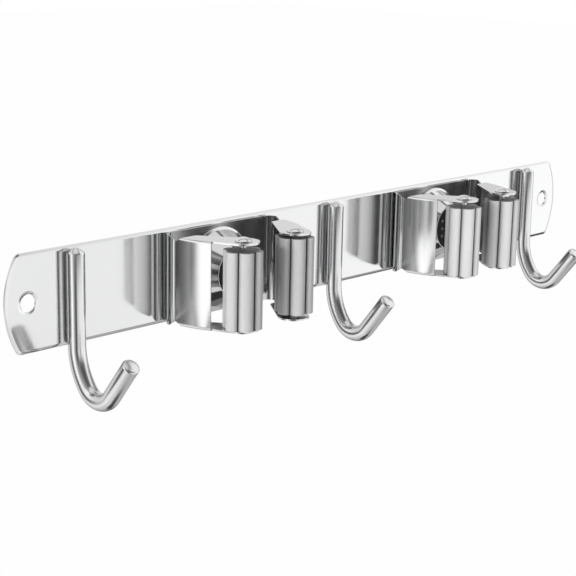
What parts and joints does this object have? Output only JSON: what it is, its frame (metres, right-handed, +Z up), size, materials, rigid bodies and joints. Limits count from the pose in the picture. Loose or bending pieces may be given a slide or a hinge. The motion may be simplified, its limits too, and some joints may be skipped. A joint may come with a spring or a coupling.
{
  "type": "wall mop holder rack",
  "caption": "Polished steel wall rack: a long plate with wire hooks and sprung clips that grip mop or broom handles between ribbed rollers.",
  "frame": {"origin": "centre of the plate's wall face, halfway between the two screw holes", "axes": "+X along the plate towards its right-hand end seen from the front, +Y into the wall, +Z up"},
  "size_m": [0.4, 0.0442, 0.07],
  "materials": {
    "polished_steel": "mirror-polished stainless steel sheet",
    "satin_steel": "satin stainless steel wire",
    "grey_rubber": "matte moulded rubber, light grey",
    "black_rubber": "matte moulded rubber, black"
  },
  "bodies": {
    "rack": {"back_plate": "polished_steel", "hook_left": "satin_steel", "hook_middle": "satin_steel", "hook_right": "satin_steel", "left_clip_web": "polished_steel", "left_clip_rivet": "polished_steel", "left_clip_cup": "polished_steel", "left_clip_pad": "black_rubber", "left_clip_bend_a": "polished_steel", "left_clip_bend_b": "polished_steel", "right_clip_web": "polished_steel", "right_clip_rivet": "polished_steel", "right_clip_cup": "polished_steel", "right_clip_pad": "black_rubber", "right_clip_bend_a": "polished_steel", "right_clip_bend_b": "polished_steel"},
    "left_arm_a": {"left_clip_arm_a": "polished_steel", "left_clip_pin_a": "polished_steel"},
    "left_roller_a": {"left_clip_roller_a": "grey_rubber"},
    "left_arm_b": {"left_clip_arm_b": "polished_steel", "left_clip_pin_b": "polished_steel"},
    "left_roller_b": {"left_clip_roller_b": "grey_rubber"},
    "right_arm_a": {"right_clip_arm_a": "polished_steel", "right_clip_pin_a": "polished_steel"},
    "right_roller_a": {"right_clip_roller_a": "grey_rubber"},
    "right_arm_b": {"right_clip_arm_b": "polished_steel", "right_clip_pin_b": "polished_steel"},
    "right_roller_b": {"right_clip_roller_b": "grey_rubber"}
  },
  "joints": [
    {"name": "left_flex_a", "type": "hinge", "parent": "rack", "child": "left_arm_a", "pos_m": [-0.1083, -0.0062, -0.001], "axis": [0, 0, -1], "range_deg": [-2, 14], "stiffness_Nm_per_rad": 2, "deforming": ["left_clip_bend_a"]},
    {"name": "left_spin_a", "type": "hinge", "parent": "left_arm_a", "child": "left_roller_a", "pos_m": [-0.0952, -0.0357, -0.001], "axis": [0, 0, 1], "continuous": true},
    {"name": "left_flex_b", "type": "hinge", "parent": "rack", "child": "left_arm_b", "pos_m": [-0.0487, -0.0062, -0.001], "axis": [0, 0, 1], "range_deg": [-2, 14], "stiffness_Nm_per_rad": 2, "deforming": ["left_clip_bend_b"]},
    {"name": "left_spin_b", "type": "hinge", "parent": "left_arm_b", "child": "left_roller_b", "pos_m": [-0.0618, -0.0357, -0.001], "axis": [0, 0, 1], "continuous": true},
    {"name": "right_flex_a", "type": "hinge", "parent": "rack", "child": "right_arm_a", "pos_m": [0.0527, -0.0062, -0.001], "axis": [0, 0, -1], "range_deg": [-2, 14], "stiffness_Nm_per_rad": 2, "deforming": ["right_clip_bend_a"]},
    {"name": "right_spin_a", "type": "hinge", "parent": "right_arm_a", "child": "right_roller_a", "pos_m": [0.0658, -0.0357, -0.001], "axis": [0, 0, 1], "continuous": true},
    {"name": "right_flex_b", "type": "hinge", "parent": "rack", "child": "right_arm_b", "pos_m": [0.1123, -0.0062, -0.001], "axis": [0, 0, 1], "range_deg": [-2, 14], "stiffness_Nm_per_rad": 2, "deforming": ["right_clip_bend_b"]},
    {"name": "right_spin_b", "type": "hinge", "parent": "right_arm_b", "child": "right_roller_b", "pos_m": [0.0992, -0.0357, -0.001], "axis": [0, 0, 1], "continuous": true}
  ]
}
